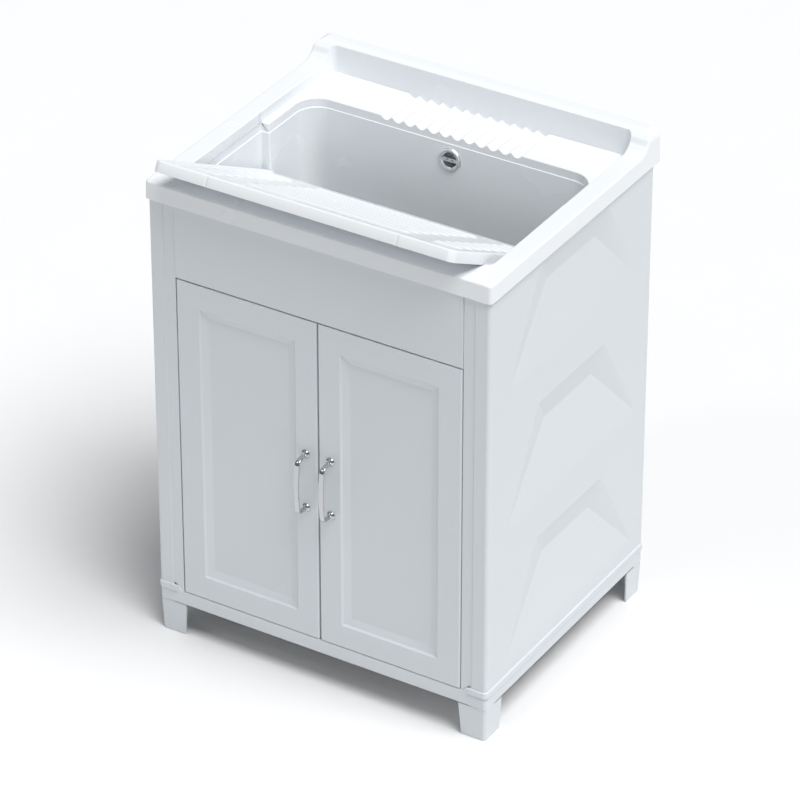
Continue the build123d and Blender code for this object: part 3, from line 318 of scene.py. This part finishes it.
def dull(name, colour, bloom, roughness, grain):
    """Rubber or a cast magnet: dark, with a lighter bloom in clouds."""
    finish = Finish(name, colour, roughness)
    clouds = finish.spread(finish.noise(BLOOM_SCALE, 5), 0, 1, 0.45, 0.75)
    finish.join(finish.blend(clouds, colour, bloom), finish.shader.inputs["Base Color"])
    finish.join(finish.spread(finish.noise(DUST_SCALE, 3), roughness - 0.1, roughness + 0.08),
                finish.shader.inputs["Roughness"])
    finish.relief(finish.noise(SKIN_SCALE, 3), grain, 0.7)
    return finish.material


chrome_trim = chromed("chrome_trim", (0.56, 0.57, 0.58), 0.06)
chrome_satin = chromed("chrome_satin", (0.93, 0.935, 0.94), 0.34)
steel = drawn_steel("steel", (0.62, 0.63, 0.64), 0.3)
black_rubber = dull("black_rubber", (0.035, 0.035, 0.038), (0.09, 0.09, 0.092), 0.75, 0.00012)
magnet_dark = dull("magnet_dark", (0.07, 0.07, 0.075), (0.12, 0.115, 0.11), 0.6, 0.0001)

# %% [markdown]
# ### Which piece gets which finish
# The part's record names a material slot for each node, and each slot has one finish here. Every
# CAD piece is painted with it first. A new piece that stands for a node takes over the same slot.

# %% Paint the CAD pieces and the floor
FLOOR_SHADE = 0.84
FINISHES = {"basin_white": basin_white, "cabinet_white": cabinet_white,
            "inner_white": inner_white, "pipe_white": pipe_white, "chrome_trim": chrome_trim,
            "steel": steel, "black_rubber": black_rubber, "magnet_dark": magnet_dark}


def paint(piece, finish):
    """Give a piece one finish."""
    piece.data.materials.clear()
    piece.data.materials.append(finish)


slot_of = {part["node"]: part["material_slot"] for part in frame["record"]["subparts"]}
for node, piece in nodes.items():
    paint(piece, FINISHES[slot_of[node]])
paint(nodes["overflow_ring"], chrome_satin)

stage_floor = Finish("floor_pale", (FLOOR_SHADE,) * 3, 0.75)
stage_floor.join(stage_floor.spread(stage_floor.noise(6, 4), 0.7, 0.82),
                 stage_floor.shader.inputs["Roughness"])
stage_floor.set("Specular IOR Level", 0.15)
paint(floor, stage_floor.material)
print("painted", len(slot_of), "pieces in", len(set(slot_of.values())), "slots")

# %% [markdown]
# ## Soft edges on the mouldings
# No moulded edge is sharp: each has a small radius that catches the light as a thin bright line.
# The CAD solids have sharp edges, so a copy of each is merged, its flat faces are joined, and a
# Bevel modifier rounds the edges. How wide depends on the edge, so a function of its middle
# point gives the radius.

# %% Let a new piece stand for a CAD node


def dress(piece, node):
    """Put a new piece in a CAD node's place: same body, same slot, same finish."""
    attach(piece, body_of[node])
    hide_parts(node)
    paint(piece, FINISHES[slot_of[node]])


# %% Copy a CAD piece with rounded edges
MERGE = 0.00001
FLAT = math.radians(0.4)
CREASE = math.radians(1.5)
ROUNDED = math.radians(12)
CORNER = math.radians(27)
BROAD = 0.006
WIDEST = 0.003
FEWEST_CORNERS = 4


def softened(node, name, radius_at, steps=2, split=False):
    """Copy of a CAD piece. An edge is rounded by radius_at(middle point) if it folds by more
    than CORNER, or by more than ROUNDED between two faces that are both broader than BROAD. A
    shallower fold between broad faces stays a sharp crease, and all the rest is smooth: so a
    curved wall of narrow strips has no lines, and a facet keeps its edges. Normals are weighted
    by face area, so that a large face looks flat up to its rounded edge. With split, a face of
    many corners is cut into triangles, which a face that runs round a large hole needs."""
    mesh = nodes[node].data.copy()
    mesh.name = name
    work = bmesh.new()
    work.from_mesh(mesh)
    weight = work.edges.layers.float.new("bevel_weight_edge")
    bmesh.ops.remove_doubles(work, verts=work.verts, dist=MERGE)
    bmesh.ops.dissolve_limit(work, angle_limit=FLAT, verts=work.verts, edges=work.edges)
    breadth = {face: face.calc_area() / max(edge.calc_length() for edge in face.edges)
               for face in work.faces}
    rounded = 0
    for edge in work.edges:
        edge.smooth = True
        if not edge.is_manifold:
            continue
        fold = edge.calc_face_angle(0)
        broad = min(breadth[face] for face in edge.link_faces) > BROAD
        if fold > CORNER or (fold > ROUNDED and broad):
            edge[weight] = radius_at((edge.verts[0].co + edge.verts[1].co) / 2) / WIDEST
            rounded += 1
        elif fold > CREASE and broad:
            edge.smooth = False
    if split:
        bmesh.ops.triangulate(work, faces=[face for face in work.faces
                                           if len(face.verts) > FEWEST_CORNERS])
    work.to_mesh(mesh)
    work.free()
    for layer in ("custom_normal", "sharp_face"):
        if layer in mesh.attributes:
            mesh.attributes.remove(mesh.attributes[layer])
    piece = link(bpy.data.objects.new(name, mesh))
    round_off = piece.modifiers.new("round_off", "BEVEL")
    round_off.limit_method = "WEIGHT"
    round_off.width = WIDEST
    round_off.segments = steps
    round_off.use_clamp_overlap = False
    flat_faces = piece.modifiers.new("flat_faces", "WEIGHTED_NORMAL")
    flat_faces.keep_sharp = True
    dress(piece, node)
    print(name, len(mesh.polygons), "faces,", rounded, "edges rounded")


# %% [markdown]
# The rim's inner edges have a radius of two millimetres, the edges of the ledges and of the deck
# a smaller one, and the fine step round the bowl almost none. The skirt, the backsplash and the
# ribs of the soap deck lie in between.

# %% Basin
STEP = (0.769, 0.773)
BOWL_TOP = 0.70
DECK = 0.786
RIM = 0.805
SKIRT_X, SKIRT_FRONT, SKIRT_BACK = 0.292, -0.222, 0.262
GROOVE_X, GROOVE_START, GROOVE_DEEP = 0.128, 0.15, 0.012
STEP_EDGE, SPLASH_EDGE, SKIRT_EDGE, DECK_EDGE, RIM_EDGE = 0.0004, 0.0007, 0.0008, 0.0015, 0.0022


def basin_radius(spot):
    """Radius of a basin edge, by where its middle lies."""
    x, y, z = abs(spot.x), spot.y, spot.z
    if STEP[0] < z < STEP[1] or z < BOWL_TOP:
        return STEP_EDGE
    if x > SKIRT_X or y < SKIRT_FRONT or y > SKIRT_BACK:
        return SKIRT_EDGE
    if z > RIM + 0.002:
        return SPLASH_EDGE
    if z > RIM - 0.004:
        return RIM_EDGE
    if x < GROOVE_X and y > GROOVE_START and DECK - GROOVE_DEEP < z < DECK + 0.002:
        return SKIRT_EDGE
    return DECK_EDGE


softened("basin", "basin_moulding", basin_radius, 3)

# %% [markdown]
# The cabinet's parts have small, even radii. The top of the front rail under the doors is
# rounder, and shows as a bright line. The base's deck is a frame round a large hole, so its
# faces are split. The edges inside a door's moulding are finer, so that its slopes stay flat.

# %% Cabinet
CABINET_FRONT = -0.226
RAIL_TOP = 0.082
MOULD_X, MOULD_Z, MOULD_DEEP = (0.0385, 0.2105), (0.1225, 0.6080), 0.008
PLAIN_EDGE, RAIL_EDGE, MOULD_EDGE = 0.0007, 0.0024, 0.0003


def even(radius):
    """The same radius on every edge."""
    return lambda spot: radius


def base_radius(spot):
    """Radius of an edge of the base: wide on the front edge of the rail's top."""
    on_rail_top = abs(spot.z - RAIL_TOP) < 0.0003 and spot.y < CABINET_FRONT + 0.001
    return RAIL_EDGE if on_rail_top else PLAIN_EDGE


def door_radius(spot):
    """Radius of a door edge: fine in the moulding."""
    in_moulding = MOULD_X[0] < abs(spot.x) < MOULD_X[1] and MOULD_Z[0] < spot.z < MOULD_Z[1]
    return MOULD_EDGE if in_moulding and spot.y < CABINET_FRONT + MOULD_DEEP else PLAIN_EDGE


for node in ("side_panel_left", "side_panel_right"):
    softened(node, node + "_moulding", even(PLAIN_EDGE))
softened("front_fascia", "fascia_moulding", even(PLAIN_EDGE))
softened("base_frame", "base_moulding", base_radius, 3, split=True)
for node in ("door_left", "door_right"):
    softened(node, node + "_moulding", door_radius, 3)

# %% [markdown]
# ## The washboard
# A lift-out board that lies sloped over the front rim: a bead round its edge, a sunk field with
# eight rows of ribs, and a skirt on three sides. It could be modelled with a heap of cut boxes,
# but as surfaces over a plan it is short: the edge is a profile carried round the U-shaped
# outline, and the field is a height above the plan. Each of the two is a closed shell.

# %% Place on the slope
SLOPE = math.radians(28.1)
REACH_FORWARD = 0.290
SKIRT = 0.018
LEDGE_START = -0.2015
FRAME_SHIFT = 0.020
BOARD_LIFT = 0.0005
BOARD_HALF, BOARD_LONG = 0.257, 0.3415
front_height = RIM - math.tan(SLOPE) * (-REACH_FORWARD - LEDGE_START)
BOARD_Y = -REACH_FORWARD + SKIRT * math.sin(SLOPE) + FRAME_SHIFT
BOARD_Z = front_height + BOARD_LIFT / math.cos(SLOPE) + SKIRT * math.cos(SLOPE)
print("board's front edge at", round(BOARD_Y, 4), round(BOARD_Z, 4))


def on_slope(x, along, height):
    """Points in the frame from points on the board: y = y0 + along cos + height sin, z = z0 -
    along sin + height cos, where along runs down the slope from the front edge."""
    y = BOARD_Y + along * math.cos(SLOPE) + height * math.sin(SLOPE)
    z = BOARD_Z - along * math.sin(SLOPE) + height * math.cos(SLOPE)
    return np.stack(np.broadcast_arrays(x, y, z), axis=-1)


def grid_faces(rows, columns, first=0, wrap=False, loop=False):
    """Quads of a grid of points numbered row by row; wrap joins the last column to the first,
    and loop the last row to the first."""
    row, column = np.meshgrid(np.arange(rows if loop else rows - 1),
                              np.arange(columns if wrap else columns - 1), indexing="ij")
    after, below = (column + 1) % columns, (row + 1) % rows
    corner = np.stack([row * columns + column, row * columns + after,
                       below * columns + after, below * columns + column], axis=-1)
    return (corner.reshape(-1, 4) + first).tolist()


def end_faces(rows, columns, first=0):
    """The first and the last column of a looped grid, each closed by one face."""
    start = [first + row * columns for row in range(rows)]
    return [start, [point + columns - 1 for point in start[::-1]]]


def surface(name, points, faces, sharp_angle):
    """Mesh object from points and faces, smooth except where it folds by more than sharp_angle,
    in degrees."""
    mesh = bpy.data.meshes.new(name)
    mesh.from_pydata(np.asarray(points).reshape(-1, 3).tolist(), [], faces)
    mesh.update()
    mesh.shade_smooth()
    mesh.set_sharp_from_angle(angle=math.radians(sharp_angle))
    return link(bpy.data.objects.new(name, mesh))


# %% [markdown]
# The profile starts in the dark groove beside the field and goes over the bead, round the edge,
# down the skirt and back under the plate. Two fine upright seams cross the skirt's front, as in
# the photograph.

# %% Edge of the board: profile round a U-shaped outline
SIDE_BEAD, FRONT_BEAD = 0.0115, 0.018
SINK = 0.0026
EDGE_ROUND, EDGE_STEPS = 0.0025, 6
PLATE = 0.0055
SKIN = 0.003
PLAN_CORNER, FIELD_CORNER = 0.012, 0.007
SEAM_X, SEAM_WIDE, SEAM_DEEP, SEAM_CLEAR = 0.163, 0.0006, 0.00035, 0.004
# Lines beside and across a seam, in seam widths from its middle.
SEAM_LINES = (-1.7, -1.0, 1.0, 1.7)
# Inset beyond the bead and height, from the field's edge over the groove to the bead's top.
GROOVE = ((0.0024, -SINK), (0.0019, -SINK - 0.0004), (0.0013, -SINK - 0.0007),
          (0.0007, -SINK - 0.0004), (0.0004, -SINK), (0.0002, -0.0008), (-0.0001, -0.0003),
          (-0.0006, 0.0))
# Inset from the outline and height, from the skirt's foot to the plate's underside.
LIP = ((0, -SKIRT + 0.0005), (0.00015, -SKIRT + 0.00015), (0.0005, -SKIRT),
       (SKIN - 0.0005, -SKIRT), (SKIN - 0.00015, -SKIRT + 0.00015), (SKIN, -SKIRT + 0.0005),
       (SKIN, -PLATE - 0.0008), (SKIN + 0.0002, -PLATE - 0.0002), (SKIN + 0.0008, -PLATE))


def outline(side, front, corner):
    """U-shaped line in plan, from the back of the left side round the front to the right:
    straight, quarter circle, straight, quarter circle, straight."""
    x_edge, y_edge = BOARD_HALF - side, front
    down = np.linspace(BOARD_LONG, y_edge + corner, 30)
    arc = np.linspace(0, math.pi / 2, 12)[1:-1]
    seam = np.array(SEAM_LINES) * SEAM_WIDE
    inner, outer = SEAM_X - SEAM_CLEAR, SEAM_X + SEAM_CLEAR
    middle = np.concatenate([np.linspace(-x_edge + corner, -outer, 14), -SEAM_X + seam,
                             np.linspace(-inner, inner, 40), SEAM_X + seam,
                             np.linspace(outer, x_edge - corner, 14)])
    left = np.stack([np.full(down.size, -x_edge), down], 1)
    turn_left = np.stack([-x_edge + corner - corner * np.cos(arc),
                          y_edge + corner - corner * np.sin(arc)], 1)
    front_line = np.stack([middle, np.full(middle.size, y_edge)], 1)
    turn_right = turn_left[::-1] * (-1, 1)
    right = left[::-1] * (-1, 1)
    return np.concatenate([left, turn_left, front_line, turn_right, right])


def bead_rings():
    """Rings from the field's edge outwards and back underneath: inset at the sides, inset at the
    front, corner radius, height. The rounded edge is a quarter circle, whose inset is r (1 - sin)
    and whose height is r (cos - 1)."""
    rings = [(SIDE_BEAD + inset, FRONT_BEAD + inset, FIELD_CORNER, height)
             for inset, height in GROOVE]
    rings.append((SIDE_BEAD * 0.6, FRONT_BEAD * 0.6, PLAN_CORNER - 0.003, 0.0))
    for angle in np.linspace(0, math.pi / 2, EDGE_STEPS):
        inset = EDGE_ROUND * (1 - math.sin(angle))
        rings.append((inset, inset, PLAN_CORNER - inset, EDGE_ROUND * (math.cos(angle) - 1)))
    rings += [(inset, inset, PLAN_CORNER - inset, height) for inset, height in LIP]
    rings.append((*rings[0][:3], -PLATE))
    return rings


rings = bead_rings()
edge_points = []
for side, front, corner, height in rings:
    plan = outline(side, front, corner)
    on_seam = np.abs(np.abs(plan[:, 0]) - SEAM_X) < SEAM_WIDE * 1.2
    low_front = (plan[:, 1] < 0.001) & (height < -EDGE_ROUND * 0.9)
    plan[:, 1] += SEAM_DEEP * (on_seam & low_front)
    edge_points.append(on_slope(plan[:, 0], plan[:, 1], height))
edge_points = np.array(edge_points)
ring_count, ring_size = edge_points.shape[:2]
board_points = [edge_points.reshape(-1, 3)]
edge_faces = grid_faces(ring_count, ring_size, loop=True) + end_faces(ring_count, ring_size)
board_faces = [face[::-1] for face in edge_faces]
print("edge", ring_count, "rings of", ring_size, "points")

# %% [markdown]
# The ribs stand in three columns, short ones at the sides and long ones in the middle. They are
# part of one height map, so that each runs into the field without a seam. The grid is dense only
# where the height changes.

# %% Field with ribs
RIBS, FIRST_RIB, RIB_PITCH = 8, 0.078, 0.0306
RIB_HALF, RIB_HEIGHT = 0.010, 0.0029
RIB_SPANS = ((-0.231, -0.181), (-0.143, 0.143), (0.181, 0.231))
RIB_CLEAR = 0.0006
BACK_ROUND = 0.0005
DOME_LINES, RIB_LINES = 13, 19
BOARD_SHARP = 40


def field_height(x, along):
    """Height of the field: a flat, plus ribs. A rib's height is a circle's arc over the distance
    to the rib's axis, which is a short line, so its ends are domes."""
    radius = (RIB_HALF ** 2 + RIB_HEIGHT ** 2) / (2 * RIB_HEIGHT)
    height = np.zeros(np.broadcast(x, along).shape)
    for row in range(RIBS):
        for low, high in RIB_SPANS:
            beyond = np.maximum(np.maximum(low + RIB_HALF - x, x - high + RIB_HALF), 0)
            away = np.minimum(np.hypot(beyond, along - FIRST_RIB - row * RIB_PITCH), RIB_HALF)
            height = np.maximum(height, np.sqrt(radius ** 2 - away ** 2) - radius + RIB_HEIGHT)
    return height - SINK


def grid_lines(start, end, centres, reach, count):
    """Lines from start to end that are close together only within reach of the centres: a long
    straight rib needs lines at its ends alone, and a flat needs none."""
    near = [np.linspace(centre - reach, centre + reach, count) for centre in sorted(centres)]
    return np.concatenate([[start], *near, [end]])


field_side, field_front = rings[0][0], rings[0][1]
dome_middles = [edge + turn * RIB_HALF / 2 for low, high in RIB_SPANS
                for edge, turn in ((low, 1), (high, -1))]
xs = grid_lines(-BOARD_HALF + field_side, BOARD_HALF - field_side, dome_middles,
                RIB_HALF / 2 + RIB_CLEAR, DOME_LINES)
alongs = grid_lines(field_front, BOARD_LONG - BACK_ROUND,
                    [FIRST_RIB + row * RIB_PITCH for row in range(RIBS)],
                    RIB_HALF + RIB_CLEAR, RIB_LINES)
x_grid, along_grid = np.meshgrid(xs, alongs)
field = on_slope(x_grid, along_grid, field_height(x_grid, along_grid))
tail = [on_slope(xs, np.full(xs.size, along), np.full(xs.size, height))
        for along, height in ((BOARD_LONG, -SINK - BACK_ROUND), (BOARD_LONG, -PLATE + BACK_ROUND),
                              (BOARD_LONG - BACK_ROUND, -PLATE), (field_front, -PLATE))]
field = np.concatenate([field, np.array(tail)])
first = len(board_points[0])
rows, columns = field.shape[:2]
board_points.append(field.reshape(-1, 3))
board_faces += grid_faces(rows, columns, first, loop=True) + end_faces(rows, columns, first)
board = surface("washboard_tray", np.concatenate(board_points), board_faces, BOARD_SHARP)
dress(board, "washboard")
print("washboard", len(board_faces), "faces")

# %% [markdown]
# ## The handles
# A chromed bow, flat in section, on two round feet with stepped collars. The bow is a rounded
# section carried along a path of straights and arcs, and each foot is a profile turned round.
# The feet stand 96 mm apart, and their height on the door is read from the CAD piece.

# %% Path and section helpers
HANDLE_X = 0.022
HANDLE_HALF = 0.048
handle_low, handle_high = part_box("handle_right")
HANDLE_Z = (handle_low.z + handle_high.z) / 2
SECTION_POWER = 3
ARC_POINTS = 6
print("handles at height", round(HANDLE_Z, 4))


def rounded_path(corners, radii, step=0.0015):
    """Points along straights joined by arcs. At a corner with half angle a, an arc of radius r
    starts r / tan(a) before it; its centre lies r / sin(a) along the corner's middle line."""
    corners = np.asarray(corners, float)
    path = [corners[0]]
    for here, before, after, radius in zip(corners[1:-1], corners[:-2], corners[2:], radii):
        back = (before - here) / np.linalg.norm(before - here)
        on = (after - here) / np.linalg.norm(after - here)
        half_angle = math.acos(np.clip(back @ on, -1, 1)) / 2
        middle = (back + on) / np.linalg.norm(back + on)
        centre = here + middle * radius / math.sin(half_angle)
        start, end = (here + way * radius / math.tan(half_angle) - centre for way in (back, on))
        sweep = math.pi - 2 * half_angle
        count = max(int(sweep * radius / step), ARC_POINTS)
        share = np.linspace(0, 1, count)[:, None]
        arc = np.sin((1 - share) * sweep) * start + np.sin(share * sweep) * end
        path += list(centre + arc / math.sin(sweep))
    path.append(corners[-1])
    return np.array(path)


def section(width, thick, count=28):
    """Closed section: a superellipse, |x / a| ** 3 + |y / b| ** 3 = 1, walked by angle, with x =
    a cos ** (2 / 3) and y = b sin ** (2 / 3)."""
    angle = np.linspace(0, 2 * math.pi, count, endpoint=False)
    power = 2 / SECTION_POWER
    x = np.sign(np.cos(angle)) * np.abs(np.cos(angle)) ** power * width / 2
    y = np.sign(np.sin(angle)) * np.abs(np.sin(angle)) ** power * thick / 2
    return x, y


def turned(profile, centre, count=48):
    """Profile of (radius, height) turned round the -Y axis through a centre on the door."""
    profile = np.asarray(profile, float)
    angle = np.linspace(0, 2 * math.pi, count, endpoint=False)
    radius, out = profile[:, :1], profile[:, 1:]
    x = centre[0] + radius * np.cos(angle)
    y = centre[1] - out + 0 * angle
    z = centre[2] + radius * np.sin(angle)
    return np.stack([x, y, z], axis=-1)


def end_caps(rows, columns, first):
    """The first and the last ring of a wrapped grid, each closed by one face."""
    last = first + (rows - 1) * columns
    return [list(range(first, first + columns)), list(range(last, last + columns))]


# %% Build both handles
REACH, MIDDLE_REACH, LEAN = 0.024, 0.0285, 0.002
BEND, BELLY = 0.009, 0.160
BOW_WIDE, BOW_THICK, WAIST = 0.009, 0.0045, 0.16
HANDLE_SHARP = 50
bow_path = rounded_path([(0.0, HANDLE_HALF), (REACH, HANDLE_HALF - LEAN), (MIDDLE_REACH, 0),
                         (REACH, -HANDLE_HALF + LEAN), (0.0, -HANDLE_HALF)],
                        [BEND, BELLY, BEND])
forward = np.gradient(bow_path, axis=0)
forward /= np.linalg.norm(forward, axis=1)[:, None]
outwards = np.stack([-forward[:, 1], forward[:, 0]], axis=1)
# Radius and distance from the door, from the foot's tip to its edge on the door.
COLLAR = [(0.0001, 0.0045), (0.0047, 0.0045), (0.0050, 0.0042), (0.0062, 0.0029),
          (0.0064, 0.0026), (0.0073, 0.0013), (0.0075, 0.0010), (0.0075, 0.0)]

for side, node in ((-1, "handle_left"), (1, "handle_right")):
    waist = 1 - WAIST * np.abs(bow_path[:, 1] / HANDLE_HALF) ** 4
    wide, thick = section(BOW_WIDE, BOW_THICK)
    x = side * HANDLE_X + waist[:, None] * wide
    out = bow_path[:, :1] + outwards[:, :1] * thick
    z = HANDLE_Z + bow_path[:, 1:] + outwards[:, 1:] * thick
    bow = np.stack([x, CABINET_FRONT - out, z], axis=-1)
    points = [bow.reshape(-1, 3)]
    faces = grid_faces(*bow.shape[:2], wrap=True) + end_caps(*bow.shape[:2], 0)
    for end in (HANDLE_HALF, -HANDLE_HALF):
        first = sum(len(part) for part in points)
        foot = turned(COLLAR, (side * HANDLE_X, CABINET_FRONT, HANDLE_Z + end))
        points.append(foot.reshape(-1, 3))
        faces += grid_faces(*foot.shape[:2], first, wrap=True)
        faces += end_caps(*foot.shape[:2], first)
    handle = surface(node + "_bow", np.concatenate(points), faces, HANDLE_SHARP)
    work = bmesh.new()
    work.from_mesh(handle.data)
    bmesh.ops.recalc_face_normals(work, faces=work.faces)
    work.to_mesh(handle.data)
    work.free()
    dress(handle, node)
print("handle path", len(bow_path), "points")
